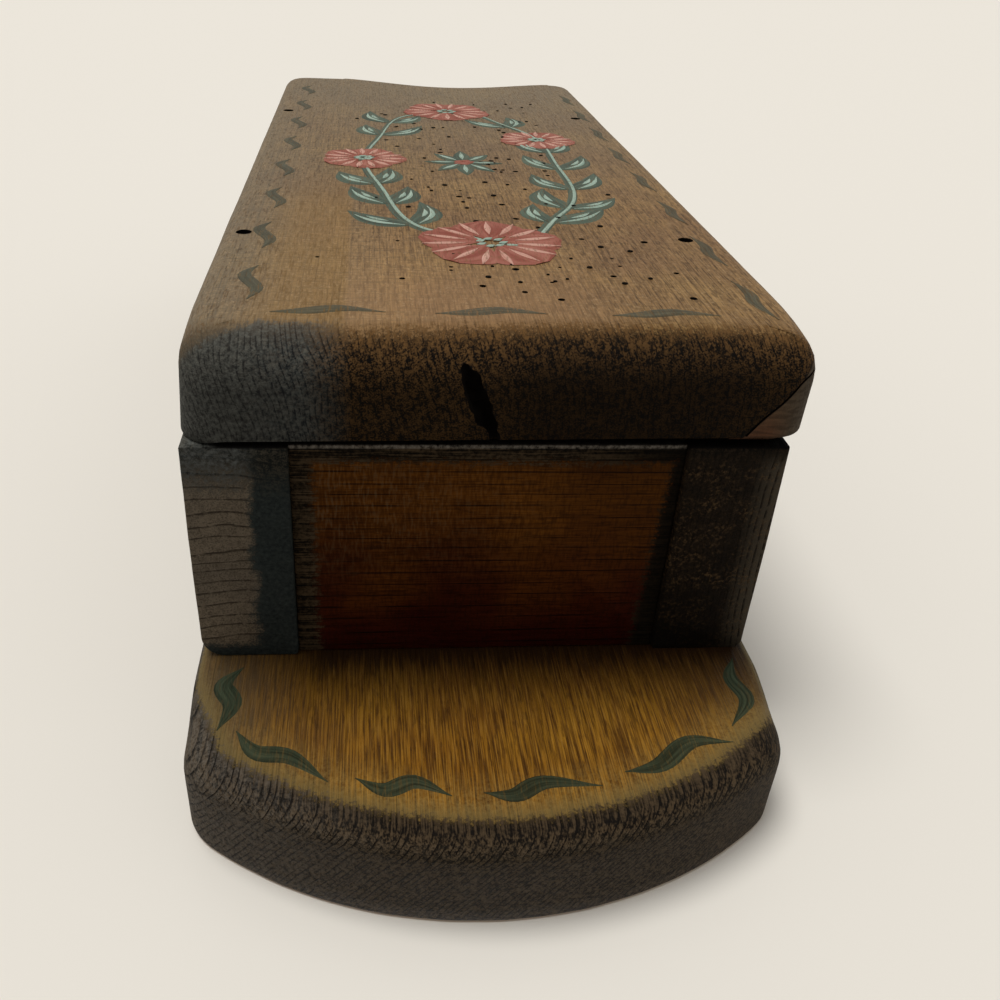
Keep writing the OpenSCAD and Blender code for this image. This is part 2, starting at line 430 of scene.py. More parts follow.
def honey_wood(tree):
    """Figure, colour and scorch of the backboard."""
    figure = pine_figure(tree, (120, 95), 0.95, wavy=3)
    x, z = figure.x, figure.z
    colour = stained(tree, figure, "#96691B", "#7C5113", "#42260A", "#2C1705", 0.75, 0.35, 0.4)
    thread = add(tree, "TexNoise", figure.strand, 1 / 0.24, 0)
    # Depth in from the rim, cut down along the left edge, where the scorch reaches further in.
    side = add(tree, "Math", x, operation="ABSOLUTE")
    depth = add(tree, "Math", side, -3, 3 * back_high.x + 3.5, operation="MULTIPLY_ADD")
    reach = add(tree, "Math", z, -(back_low.z + back_high.z) / 2, operation="ADD")
    reach = add(tree, "Math", reach, operation="ABSOLUTE")
    flank = add(tree, "Math", x, 1.2, 1.2 * back_high.x + 83.3, operation="MULTIPLY_ADD")
    flank = add(tree, "Math", reach, -0.5, flank, operation="MULTIPLY_ADD")
    depth = add(tree, "Math", depth, flank, operation="MINIMUM")
    for centre, limit in ((arch_foot, "MINIMUM"), (arch_head, "MAXIMUM")):
        rise = add(tree, "Math", z, -centre[1], operation="ADD")
        rise = add(tree, "Math", rise, 0, operation=limit)
        across = add(tree, "Math", x, -centre[0], operation="ADD")
        ray = add(tree, "CombineXYZ", across, rise)
        ray = add(tree, "VectorMath", ray, operation="LENGTH")
        inside = add(tree, "Math", arch_radius, ray, operation="SUBTRACT")
        depth = add(tree, "Math", depth, inside, operation="MINIMUM")
    middle = add(tree, "Math", z, -(pocket_low.z + pocket_high.z) / 2, operation="ADD")
    beyond = add(tree, "Math", middle, operation="ABSOLUTE")
    beyond = add(tree, "Math", figure.fibre, 6, beyond, operation="MULTIPLY_ADD")
    joint = (pocket_high.z - pocket_low.z) / 2
    # Pale and dark threads, duller sides, a rubbed border, and painted shade beside the pocket's foot and
    # top, weaker towards the left edge.
    colour = tinted(
        tree, colour,
        (0.35, "#A67A30", (thread, 0.56, 0.7)),
        (0.5, "#2A1705", (thread, 0.44, 0.3)),
        (0.5, "#584529", (x, -14, -50), figure.blotch),
        (0.55, "#4A361C", (x, 30, 52)),
        (0.45, "#A88A4C", (depth, 17, 8), figure.speck),
        (0.55, "#4E4534", (x, -34, -50)),
        (0.97, "#120600", (beyond, joint + 26, joint + 4), (x, -62, -32)),
        (0.7, "#6A5A34", (depth, 10, 6.5)))
    mask = frayed(tree, figure, depth, 4.8, 6.9, 3, 0.25)
    colour = scorched(tree, figure, colour, mask, "#0D0905", "#544430", 1)
    early = add(tree, "Math", 1, figure.late, operation="SUBTRACT")
    raw = stained(tree, figure, "#8C7150", "#765A3B", "#59432A", "#4A3522", 0.5, 0.5, 0.4)
    skin = add(tree, "Math", figure.y, -1, operation="MULTIPLY")
    bare = frayed(tree, figure, skin, 0.03, 0.1, 0.06)
    # The scorch is darkest on the roundover and worn grey at the rim and on the left; the back is raw.
    colour = tinted(
        tree, colour,
        (0.32, "#100B07", mask, (depth, 0.8, 3)),
        (0.5, "#584E40", mask, (depth, 1.8, 0.3), figure.speck, early),
        (0.65, "#6A6359", mask, (x, -20, -54), figure.speck, early),
        (1, raw, bare))
    return figure, colour, mask


figure, colour, mask = honey_wood(tree)
wood_surface(tree, shader, figure, colour, mask, 0.5, 0.75, 0.16, 0.08)
dress(back_plank, honey_pine)
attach(back_plank, "root")
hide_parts("backboard")


# Sides of the pocket: two lengths of the same plank stood on edge and nailed through the backboard.
# Their outer back edges are rounded, and torch and dark stain left their feet nearly black.
side_square = 0.6
side_crisp = 0.2
left_front_round = 0.5
left_back_round = 4.5
right_back_round = 2.0
side_ease = 0.4
side_levels = 24
section_step = 0.35
corner_step = 0.4
front_low, front_high = [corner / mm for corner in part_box("front_board")]
fronts_low, fronts_high = [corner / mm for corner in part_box("front_nails")]
bottoms_low, bottoms_high = [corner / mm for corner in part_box("bottom_nails")]
front_columns = nail_lines(fronts_low.x, fronts_high.x)
front_rows = nail_lines(fronts_low.z, fronts_high.z)
front_tips = [(x, front_low.y + nail_set, z) for x in front_columns for z in front_rows]
front_pits = [nail_room(tip, Vector((0, 1, 0))) for tip in front_tips]
bottom_level = (bottoms_low.z + bottoms_high.z) / 2
bottom_pits = [nail_room((x, y, bottom_level), Vector((way, 0, 0)))
               for x, way in ((bottoms_low.x, 1), (bottoms_high.x, -1))
               for y in nail_lines(bottoms_low.y, bottoms_high.y)]


def eased_section(low, high, radii):
    """Rectangle with a radius of its own at each corner, counter-clockwise from its low corner."""
    corners = [(low.x, low.y, 1, 1), (high.x, low.y, -1, 1),
               (high.x, high.y, -1, -1), (low.x, high.y, 1, -1)]
    points = []
    for quarter, ((x, y, right, up), radius) in enumerate(zip(corners, radii)):
        start = math.pi * (1 + quarter / 2)
        centre = (x + right * radius, y + up * radius)
        points += arc(centre, radius, start, start + math.pi / 2, corner_step)
    return points


def standing_plank(name, node, radii, ease, levels):
    """A plank stood on its foot: its section raised to the node's height, with room for the nails."""
    low, high = [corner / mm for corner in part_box(node)]
    outline = even_steps(eased_section(low, high, radii), section_step)
    plank = worn_board(name, outline, high.z - low.z, lambda x, y: ease, ease,
                       lambda x, y, height: (x, y, low.z + height), levels)
    cut_away(plank, front_pits + back_pits + bottom_pits, grime)
    soften(plank)
    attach(plank, "root")
    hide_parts(node)
    return plank


left_radii = (left_front_round, side_square, side_square, left_back_round)
right_radii = (side_square, side_crisp, right_back_round, side_square)
left_plank = standing_plank("left_plank", "left_side", left_radii, side_ease, side_levels)
right_plank = standing_plank("right_plank", "right_side", right_radii, side_ease, side_levels)


def joint_shade(figure):
    """Painted shade: a near-black tint on the edges in the open joint behind the front board, which is shut
    at its left end.
    """
    return 0.95, "#030202", (figure.y, front_high.y + 0.5, front_high.y + 0.25), (figure.x, -53, -49)


# Smoked pine of the left side: grey brown with thin wavy rings, soaked blue black along its inner edge.
smoked_pine, tree, shader = new_material("smoked_pine")
figure = pine_figure(tree, (-46, 210), 2.7, line=0.78, uneven=0.8, wavy=6, gaps=0.4)
colour = stained(tree, figure, "#867660", "#6C6152", "#51473A", "#241C14", 0.6, 0.85, 0.4)
wander = add(tree, "TexNoise", figure.spot, 1 / 7, 2)
inward = add(tree, "Math", figure.x, -1, -41.1, operation="MULTIPLY_ADD")
inward = add(tree, "Math", wander, -7, inward, operation="MULTIPLY_ADD")
backward = add(tree, "Math", -22, figure.y, operation="SUBTRACT")
inward = add(tree, "Math", inward, backward, operation="MINIMUM")
soaked = frayed(tree, figure, inward, -1, 1.2, 1.6)
ink = add(tree, "Mix", figure.speck, "#202424", "#383D39", data_type="RGBA")
colour = add(tree, "Mix", soaked, colour, ink, data_type="RGBA")
mask = frayed(tree, figure, figure.y, front_high.y + 2, front_high.y + 12, 4)
colour = scorched(tree, figure, colour, mask, "#1C1D1A", "#423D33")
# The ash tint on the left, and painted shade in the open joint.
ash = (0.8, "#62635E", mask, (figure.x, -42, -46), figure.speck)
colour = tinted(tree, colour, ash, joint_shade(figure))
wood_surface(tree, shader, figure, colour, mask, 0.65, 0.8, 0.14, 0.04)
dress(left_plank, smoked_pine)

# Charred pine of the right side: nearly black, with light flecks and ring ridges near the outer edge.
charred_pine, tree, shader = new_material("charred_pine")
figure = pine_figure(tree, (400, -45), 1.3, line=0.5, uneven=0.5, wavy=2)
colour = stained(tree, figure, "#281F16", "#1B150F", "#120D08", "#0A0704", 0.8, 0.7, 0.6)
ridge = add(tree, "Math", 1, figure.late, operation="SUBTRACT")
patch = add(tree, "TexNoise", figure.spot, 1 / 5, 2)
colour = tinted(
    tree, colour,
    (0.8, "#5A5041", (figure.x, 49, 54.5), (figure.z, -310, -314), ridge),
    (0.75, "#664F34", (figure.speck, 0.5, 1), (patch, 0.35, 0.65)))
mask = frayed(tree, figure, figure.y, front_high.y + 0.5, front_high.y + 5, 3)
colour = scorched(tree, figure, colour, mask, "#0B0906", "#2A2118")
# Near black towards the inner back corner, and painted shade in the open joint.
corner = add(tree, "Math", figure.x, -0.7, figure.y, operation="MULTIPLY_ADD")
colour = tinted(tree, colour, (0.85, "#080604", (corner, -66, -50)), joint_shade(figure))
wood_surface(tree, shader, figure, colour, mask, 0.65, 0.8, 0.14, 0.04)
dress(right_plank, charred_pine)


# Bottom of the pocket: a short board laid across between the sides and nailed through them.
# Its long grain runs from side to side, and its stain goes from amber to a dark red.
panel_square = 0.7
panel_ease = 0.5
panel_levels = 3
bottom_plank = standing_plank("bottom_plank", "bottom_board", (panel_square,) * 4, panel_ease, panel_levels)

# Red-stained pine: thin broken dark rings across a translucent amber and red stain, smoky at the borders.
red_pine, tree, shader = new_material("red_pine")
figure = pine_figure(tree, (-304, 230), 2.7, "X", 0.84, 0.35)
amber = stained(tree, figure, "#6C3F10", "#57310C", "#3D2008", "#140803", 0.5, 0.95, 0.35)
wine = stained(tree, figure, "#43170A", "#340E06", "#240804", "#0E0301", 0.5, 0.95, 0.35)
sink = add(tree, "Math", figure.blotch, 14, figure.y, operation="MULTIPLY_ADD")
sink = add(tree, "MapRange", sink, -52, -16, interpolation_type="SMOOTHSTEP")
colour = add(tree, "Mix", sink, amber, wine, data_type="RGBA")
sawn = add(tree, "VectorMath", figure.spot, (1, 0.22, 1), operation="MULTIPLY")
sawn = add(tree, "TexNoise", sawn, 1 / 0.45, 1)
colour = tinted(
    tree, colour,
    (0.4, "#1C0D04", (sawn, 0.46, 0.68)),
    (0.3, "#6B5A42", (sawn, 0.5, 0.3), (figure.x, 20, -30), (figure.y, -34, -50)),
    (0.25, "#140702", (figure.x, -4, 24), (figure.y, -34, -54)))
left_gap = add(tree, "Math", figure.x, 36.6, operation="ADD")
right_gap = add(tree, "Math", 34, figure.x, operation="SUBTRACT")
right_gap = add(tree, "Math", figure.y, -0.06, right_gap, operation="MULTIPLY_ADD")
border = add(tree, "Math", left_gap, right_gap, operation="MINIMUM")
top_gap = add(tree, "Math", figure.y, 66.9, operation="ADD")
border = add(tree, "Math", border, top_gap, operation="MINIMUM")
mask = frayed(tree, figure, border, 3, 4.8, 2.4, 0.2)
colour = scorched(tree, figure, colour, mask, "#0E0B07", "#4D3E2C")
# Darker scorch to the right, a painted highlight as a pale grey line where the front arris catches the light,
# and painted shade in the open joint.
colour = tinted(
    tree, colour,
    (0.85, "#0B0805", mask, (figure.x, 15, 33)),
    (1, "#8C8274", (figure.y, front_high.y + 1.2, front_high.y + 0.8), figure.speck),
    joint_shade(figure))
wood_surface(tree, shader, figure, colour, mask, 0.55, 0.75, 0.08, 0.03)
dress(bottom_plank, red_pine)


# Front board: the plank that closes the pocket, its top sawn to a shallow scoop to reach inside.
# It is nailed into the sides, its edges are rasped round, and worm and wear have marked it.
front_thick = front_high.y - front_low.y
foot_left_corner = 8
foot_right_corner = 6.5
top_corner = 9
scoop_centre = 8
scoop_half = 41
scoop_depth = 13
scoop_steps = 60
front_round = 4.5
foot_round = 9.5
foot_blend = 24
scoop_round = 3.2
scoop_blend = 16
front_ease = 0.5
front_step = 1.2
front_levels = 4
front_wear = 0.09
left_skew = 0.075
right_skew = 0.035
joint_left = 0.6
joint_right = 1.8
joint_shut = 4
joint_depth = 3.0


def front_rounding(x, z):
    """Roundover of the front board: broad and soft along the foot, small in the scoop."""
    foot = max(0.0, 1 - (z - front_low.z) / foot_blend) ** 2
    scoop = max(0.0, 1 - (front_high.z - z) / scoop_blend) * (abs(x - scoop_centre) < scoop_half)
    bend = front_round + (foot_round - front_round) * foot + (scoop_round - front_round) * scoop
    return bend * (1 + 0.06 * noise.noise(Vector((x, z, 40)) / 25))


def front_joint(x, z):
    """Open joint between the front board and the pocket: shut at the left edge, wider towards the right."""
    reach = x - front_low.x
    opened = min(max(reach / joint_shut - 1, 0.0), 1.0)
    return opened * (joint_left + (joint_right - joint_left) * reach / (front_high.x - front_low.x))


front_outline = arc((front_low.x + foot_left_corner, front_low.z + foot_left_corner), foot_left_corner,
                    math.pi, 1.5 * math.pi)
front_outline += arc((front_high.x - foot_right_corner, front_low.z + foot_right_corner), foot_right_corner,
                     1.5 * math.pi, math.tau)
front_outline += arc((front_high.x - top_corner, front_high.z - top_corner), top_corner, 0, math.pi / 2)
for step in range(scoop_steps + 1):
    swing = 1 - 2 * step / scoop_steps
    dip = scoop_depth * math.cos(math.pi / 2 * swing) ** 1.5
    front_outline.append((scoop_centre + scoop_half * swing, front_high.z - dip))
front_outline += arc((front_low.x + top_corner, front_high.z - top_corner), top_corner, math.pi / 2, math.pi)


def on_front(x, z, height):
    """Place of a point of the front board, whose edges were sawn slightly out of square."""
    left = left_skew * (height - 0.35 * front_thick) * max(0.0, x / front_low.x)
    right = right_skew * height * max(0.0, x / front_high.x)
    return x + left + right, front_high.y - height, z


front_plank = worn_board("front_plank", even_steps(front_outline, front_step), front_thick, front_rounding,
                         front_ease, on_front, front_levels, front_wear, front_joint, joint_depth)

worm_count = 62
worm_across = (-34, 46, 24)
worm_along = (-302, -98)
worm_bore = (0.4, 0.85)
worm_sunk = (0.9, 1.8)
worm_slant = 20
luck = random.Random(7)
worm_holes = []
for index in range(worm_count):
    x = luck.triangular(*worm_across)
    z = luck.uniform(*worm_along)
    bore = luck.uniform(*worm_bore)
    sunk = luck.uniform(*worm_sunk)
    slant = Matrix.Rotation(math.radians(90 + luck.uniform(-worm_slant, worm_slant)), 4, "X")
    worm_holes.append(turned([(0.6 * bore, -sunk), (bore, -0.1), (1.15 * bore, 0.5)],
                             Matrix.Translation((x, front_low.y, z)) @ slant, 10))

gouge_from = Vector((-6.6, -83.4))
gouge_to = Vector((0.6, -67.4))
gouge_half = (8.6, 1.9, 3.2)
gouge_ragged = 0.9
gouge_grain = 1.7
gouge_seed = 1795725022  # vector noise starts from the clock unless it is seeded
gouge_middle = (gouge_from + gouge_to) / 2
gouge_turn = math.atan2(gouge_to.y - gouge_from.y, gouge_to.x - gouge_from.x)
gouge_ball = [(math.sin(math.radians(turn)), -math.cos(math.radians(turn))) for turn in range(6, 180, 8)]
gouge_place = (Matrix.Translation((gouge_middle.x, gouge_middle.y, front_low.z))
               @ Matrix.Rotation(gouge_turn, 4, "Z") @ Matrix.Diagonal(gouge_half + (1,)))
gouge_points, gouge_faces = turned(gouge_ball, gouge_place, 48)
noise.seed_set(gouge_seed)
gouge = ([spot + gouge_ragged * noise.noise_vector(spot / gouge_grain) for spot in gouge_points], gouge_faces)

crack_width = 0.55
crack_depth = 2.0
crack_past = 0.6
crack_path = [(57.3, -81.0), (54.7, -79.8), (52.9, -77.8), (51.2, -75.6), (48.4, -72.6), (45.9, -69.2)]


def crosswise(path, index):
    """Unit vector across a path at one of its points."""
    ahead = path[min(index + 1, len(path) - 1)] - path[max(index - 1, 0)]
    return Vector((-ahead.y, ahead.x)).normalized()


def split(path, width, depth):
    """A crack in the foot: a thin wedge that follows a path and opens downwards."""
    points = []
    for index, spot in enumerate(path):
        across = crosswise(path, index) * width / 2
        reach = spot.x - (front_high.x - foot_right_corner)
        corner_rise = foot_right_corner - math.sqrt(foot_right_corner ** 2 - max(reach, 0.0) ** 2)
        level = front_low.z + corner_rise
        points += [(spot.x + across.x, spot.y + across.y, level - crack_past),
                   (spot.x - across.x, spot.y - across.y, level - crack_past),
                   (spot.x, spot.y, level + depth)]
    return points, tube(0, len(path), 3)


def flowing(points, count):
    """Points along a smooth line through these points."""
    line = [Vector(point) for point in points]
    line = [2 * line[0] - line[1]] + line + [2 * line[-1] - line[-2]]
    path = []
    for step in range(count + 1):
        place = step / count * (len(points) - 1)
        leg = min(int(place), len(points) - 2)
        share = place - leg
        before, start, end, after = line[leg:leg + 4]
        path.append(start + 0.5 * ((end - before) * share
                                   + (2 * before - 5 * start + 4 * end - after) * share ** 2
                                   + (3 * start - before - 3 * end + after) * share ** 3))
    return path


crack = split(flowing(crack_path, 16), crack_width, crack_depth)
cut_away(front_plank, front_pits + worm_holes + [gouge, crack], grime)
soften(front_plank)

# Rubbed pine: tan stain worn by hands, with fine dark grain, a painted grey sheen at the far end and along
# the left, and a scorched foot.
rubbed_pine, tree, shader = new_material("rubbed_pine")


def rubbed_wood(tree):
    """Figure, colour and scorch of the front board."""
    figure = pine_figure(tree, (-150, -50), 1.15)
    x, y, z = figure.x, figure.y, figure.z
    colour = stained(tree, figure, "#96764A", "#816241", "#533C25", "#382818", 0.58, 0.48, 0.52)
    sawn = add(tree, "VectorMath", figure.spot, (0.14, 1, 1), operation="MULTIPLY")
    sawn = add(tree, "TexNoise", sawn, 1 / 0.7, 1)
    left = add(tree, "MapRange", x, -16, -54)
    far = add(tree, "MapRange", z, -230, -80)
    painted_sheen = add(tree, "Math", left, far, operation="MAXIMUM")
    grain = add(tree, "MapRange", figure.dash, 0, 1, 0.8, 0.3)
    bare = add(tree, "Math", figure.speck, figure.dash, operation="SUBTRACT")
    # Girth is the way round the foot from its back, and depth is the same with an uneven border.
    up = add(tree, "Math", z, -front_low.z, operation="ADD")
    back = add(tree, "Math", y, -front_low.y, operation="ADD")
    girth = add(tree, "Math", up, back, operation="SUBTRACT")
    spared = add(tree, "MapRange", x, 44, 57, 0, 3)
    depth = add(tree, "Math", girth, spared, operation="ADD")
    tilt = add(tree, "MapRange", x, -22, 10, 1.4, -1.6)
    depth = add(tree, "Math", depth, tilt, operation="ADD")
    # Saw marks, a painted grey sheen, a golden stripe, a rubbed place, bare specks, and brown above the
    # scorch.
    colour = tinted(
        tree, colour,
        (0.62, "#47341F", (sawn, 0.5, 0.68), (x, 75, -30)),
        (0.8, "#6D6656", painted_sheen, grain),
        (0.38, "#8A6733", (z, -196, -236), (x, -26, -27.4), (x, -47, -38)),
        (0.35, "#A07C55", (z, -250, -290), (x, 28, 8), (x, -27.4, -26)),
        (0.35, "#B59A74", (bare, 0.55, 1)),
        (0.55, "#6A4A1E", (depth, 11, 2)))
    mask = frayed(tree, figure, depth, 3.2, 10, 11, 0.3)
    colour = scorched(tree, figure, colour, mask, "#080604", "#684B2A")
    slope = add(tree, "Math", -42, x, operation="SUBTRACT")
    slope = add(tree, "Math", slope, 0, operation="MAXIMUM")
    damp = add(tree, "Math", slope, 0.75, girth, operation="MULTIPLY_ADD")
    damp = frayed(tree, figure, damp, 7, 10.4, 3.2)
    lines = add(tree, "Math", figure.late, -0.5, figure.speck, operation="MULTIPLY_ADD")
    ink = add(tree, "Mix", lines, "#1B1D1F", "#5E5F58", data_type="RGBA")
    crack_line = add(tree, "Math", y, 0.84, x, operation="MULTIPLY_ADD")
    chip = [(crack_line, -12.4, -11.9), (up, 9, 6), (y, -84, -81)]
    # Darker towards the joint, a painted grey sheen on the left of the rounded foot, the blue-black damp
    # stain, and bare wood past the crack.
    colour = tinted(
        tree, colour,
        (0.55, "#0B0805", (depth, 4, -9)),
        (0.6, "#070402", (depth, 6, -8), (x, -6, 8), (x, 58, 40)),
        (0.65, "#5E5546", (depth, 12, 5), (x, -36, -46)),
        (0.82, ink, damp, (x, -25.5, -34)),
        (0.85, "#6C5740", *chip),
        (0.6, "#4A463D", *chip, (x, 50, 56)),
        (0.55, "#70402A", *chip, (x, 54, 50), (y, -76, -70)),
        (0.5, "#33291F", *chip, (sawn, 0.42, 0.62)))
    return figure, colour, mask


figure, colour, mask = rubbed_wood(tree)
wood_surface(tree, shader, figure, colour, mask, 0.55, 0.75, 0.12, 0.06)
dress(front_plank, rubbed_pine)
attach(front_plank, "root")
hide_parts("front_board")


# Nails: small cut nails with round heads, driven and set below the face so that a dark pit is left.
# They keep their frame pieces and take a dull iron skin with brown rust.
old_iron, tree, shader = new_material("old_iron")
rust = add(tree, "TexNoise", add(tree, "TexCoord").outputs["Object"], 1 / (1.2 * mm), 3)
rust = add(tree, "MapRange", rust, 0.4, 0.65)
colour = add(tree, "Mix", rust, "#2A2725", "#3A2417", data_type="RGBA")
metal = add(tree, "MapRange", rust, 0, 1, 0.9, 0.1)
sheen = add(tree, "MapRange", rust, 0, 1, 0.5, 0.85)
bump = add(tree, "Bump", 0.5, 0.1 * mm, 0.1, rust)
coat(tree, shader, {"Base Color": colour, "Metallic": metal, "Roughness": sheen, "Normal": bump})
for node in ("front_nails", "back_nails", "bottom_nails"):
    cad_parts[node].data.materials.clear()
    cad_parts[node].data.materials.append(old_iron)


# Painted borders: dark green S strokes of a round brush, one after the other along the edges
# of the front board and round the tongue, in thin paint that lets the grain through.
paint_lift = 0.1
paint_sink = 0.04
stroke_steps = 18
thinnest_half = 0.08
border_width = 3.4
border_step = 30
border_count = 8
border_start = front_low.z + 28
foot_row = front_low.z + 13.5
left_column = front_low.x + 11.8
right_column = front_high.x - 7.8
foot_stroke = [(-10.5, -0.4), (-4.4, 0.3), (2.2, 1.7), (10, 0)]
left_stroke = [(0, 10), (-2.2, 4.5), (0.8, -3), (-0.4, -9)]
right_stroke = [(0, 5), (1.4, -2), (0.8, -8), (2.4, -16)]


def swell(share):
    """Width of an S stroke along its length: drawn thin, pressed full, lifted thin."""
    return math.sin(math.pi * share) ** 1.1


def lay_stroke(paint, path, width, body, face):
    """One brush stroke on a flat face: a low crowned ribbon along a path."""
    seed = 0.61 * len(paint.faces)
    first = len(paint.points)
    for index, spot in enumerate(path):
        share = index / (len(path) - 1)
        across = crosswise(path, index) * max(0.5 * width * body(share), thinnest_half)
        for side, rise in ((-1, -paint_sink), (-0.75, 0.8 * paint_lift), (0, paint_lift),
                           (0.75, 0.8 * paint_lift), (1, -paint_sink)):
            paint.points.append((spot.x + side * across.x, face - rise, spot.y + side * across.y))
            paint.marks += [side, share * len(path) / 6, seed]
    paint.faces += tube(first, len(path), 5)


def s_stroke(paint, shape, x, z, width, face):
    """An S stroke through the points of this shape, set down at a place on a face."""
    path = flowing([(x + across, z + along) for across, along in shape], stroke_steps)
    lay_stroke(paint, path, width, swell, face)


def new_paint():
    """An empty set of brush strokes."""
    return SimpleNamespace(points=[], faces=[], marks=[])


def paint_piece(name, paint, material):
    """Brush strokes as one piece that keeps each stroke's own coordinates for the bristle marks."""
    mesh = closed_mesh(name, paint.points, paint.faces)
    mesh.attributes.new("stroke", "FLOAT_VECTOR", "POINT").data.foreach_set("vector", paint.marks)
    mesh.materials.append(material)
    piece = add_object(name, mesh)
    soften(piece)
    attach(piece, "root")


def brushed_paint(name, wood, deep, light, thin, thick):
    """Thin paint over a board: bristle streaks along each stroke, and wood grain where it wore off."""
    material, tree, shader = new_material(name)
    figure, ground, mask = wood(tree)
    stroke = add(tree, "Attribute", attribute_name="stroke").outputs["Vector"]
    hairs = add(tree, "VectorMath", stroke, (3.2, 0.5, 1), operation="MULTIPLY")
    bristle = add(tree, "TexNoise", hairs, 1, 3, 0.6)
    tone = add(tree, "MapRange", bristle, 0.36, 0.64)
    colour = add(tree, "Mix", tone, deep, light, data_type="RGBA")
    worn = add(tree, "Math", tone, 0.4, figure.dash, operation="MULTIPLY_ADD")
    cover = add(tree, "MapRange", worn, 1.2, 0.3, thin, thick)
    colour = add(tree, "Mix", cover, ground, colour, data_type="RGBA")
    wood_surface(tree, shader, figure, colour, mask, 0.6, 0.7, 0.06, 0.03)
    return material


# Bottle-green paint: dull, dark, thin enough to show the grain.
border_on_front = brushed_paint("green_paint_on_front", rubbed_wood, "#31362F", "#4C5247", 0.25, 0.78)
border_on_back = brushed_paint("green_paint_on_back", honey_wood, "#1C241A", "#374030", 0.74, 0.95)

front_border = new_paint()
for x in (-29.5, -0.1, 32.2):
    s_stroke(front_border, foot_stroke, x, foot_row, border_width + 0.6, front_low.y)
for index in range(border_count):
    z = border_start + border_step * index
    s_stroke(front_border, left_stroke, left_column, z, border_width, front_low.y)
    s_stroke(front_border, right_stroke, right_column, z, border_width - 0.4, front_low.y)
paint_piece("front_border", front_border, border_on_front)

# Strokes of the tongue, each with its width and its own points, and the same again on the head.
tongue_strokes = [
    (4.6, [(-47.5, -318.5), (-50.8, -323.5), (-48.6, -329.0), (-50.6, -335.6)]),
    (4.3, [(-47.1, -335.8), (-43.1, -341.1), (-36.8, -342.5), (-29.9, -348.5)]),
    (4.0, [(-25.2, -347.8), (-20.0, -350.6), (-14.8, -349.0), (-8.5, -352.4)]),
    (4.0, [(-2.9, -351.9), (2.4, -352.6), (8.1, -349.9), (18.2, -351.1)]),
    (4.2, [(22.8, -348.1), (29.6, -346.7), (36.7, -341.3), (44.8, -341.6)]),
    (3.8, [(52.2, -318.4), (49.9, -324.2), (51.0, -330.7), (45.9, -337.6)])]
back_border = new_paint()
for width, shape in tongue_strokes:
    s_stroke(back_border, shape, 0, 0, width, back_low.y)
    mirrored = [(x, back_low.z + back_high.z - z) for x, z in shape]
    s_stroke(back_border, mirrored, 0, 0, width, back_low.y)
paint_piece("back_border", back_border, border_on_back)


# Painted wreath: an oval garland in the folk manner on the front board, two stems with paired leaves,
# four five-petalled roses and a small star in the middle, with pale lights laid over leaves and petals.
wreath_centre = Vector((4.0, -186.0))
wreath_half = Vector((27.0, 74.0))
rose_turns = [(0.0, 16.0), (2.0, 12.0), (-1.6, 12.0), (math.pi, 15.0)]  # angle on the oval, and size
rose_room = 2  # leaves keep this far from a rose
stem_width = 3.2
stem_light = Vector((0.5, 0.3))
leaf_length = 19.0
leaf_width = 8.0
rib_offset = 0.9
light_width = 1.5
blush_width = 1.6
heart_dab = Vector((0.35, 0.2))
star_size = 11.0
star_heart = 1.6
star_dab = Vector((0.5, 0.3))
star_dab_width = 2.4
leaf_face = front_low.y - 0.02
light_face = front_low.y - 0.1
petal_face = front_low.y - 0.12
petal_rise = 0.01
blush_face = front_low.y - 0.24
heart_face = front_low.y - 0.26

stems, leaves, lights, petals, blush = [new_paint() for index in range(5)]


def leaf(share):
    """Width of a leaf stroke: full soon after its foot, long and thin at its tip."""
    return math.sin(math.pi * share ** 0.75) ** 0.9


def petal(share):
    """Width of a petal stroke: narrow at the heart, full and blunt at its end."""
    return math.sin(math.pi * min(share, 0.97) ** 1.5) ** 0.7


def on_wreath(turn):
    """Point of the oval at an angle from its foot, with a slight hand-drawn wave."""
    wave = 1 + 0.035 * math.sin(7 * turn)
    return wreath_centre + wave * Vector((wreath_half.x * math.sin(turn), -wreath_half.y * math.cos(turn)))


def spoke(middle, way, start, end, count):
    """Points along a straight stroke that runs out from a middle."""
    return [middle + way * (start + (end - start) * step / count) for step in range(count + 1)]


def dabs(paint, middle, count, radius, slant, width, face):
    """A ring of short slanting dabs round a middle."""
    for index in range(count):
        angle = math.tau * index / count
        heart = middle + Vector((math.cos(angle), math.sin(angle))) * radius
        lay_stroke(paint, [heart + slant * step for step in range(-3, 4)], width, swell, face)


for way in (-1, 1):
    stem = [on_wreath(way * (0.1 + step * (math.pi - 0.3) / 90)) for step in range(91)]
    lay_stroke(stems, stem, stem_width, lambda share: 1 - 0.6 * share, front_low.y)
    shine = [spot + stem_light for spot in stem]
    lay_stroke(lights, shine, light_width, lambda share: 0.8 - 0.5 * share, light_face)
    for index in range(8, 90, 9):
        foot = stem[index]
        if min((foot - on_wreath(turn)).length - size for turn, size in rose_turns) < rose_room:
            continue
        ahead = (stem[index + 1] - foot).normalized()
        for lean in (-1, 1):
            angle = lean * math.radians(luck.uniform(34, 52))
            heading = Matrix.Rotation(angle, 2) @ ahead
            curl = Matrix.Rotation(angle * 0.2, 2) @ ahead
            size = leaf_length * luck.uniform(0.8, 1.1)
            tip = foot + heading * size * 0.6 + curl * size * 0.45
            path = flowing([foot, foot + heading * size * 0.5, tip], 12)
            lay_stroke(leaves, path, leaf_width * luck.uniform(0.85, 1.1), leaf, leaf_face)
            rib = Vector((-heading.y, heading.x)) * lean * rib_offset
            for side, first, last in ((1, 1, 11), (-1, 4, 9)):
                vein = [spot + rib * side for spot in path[first:last]]
                lay_stroke(lights, vein, light_width, swell, light_face)

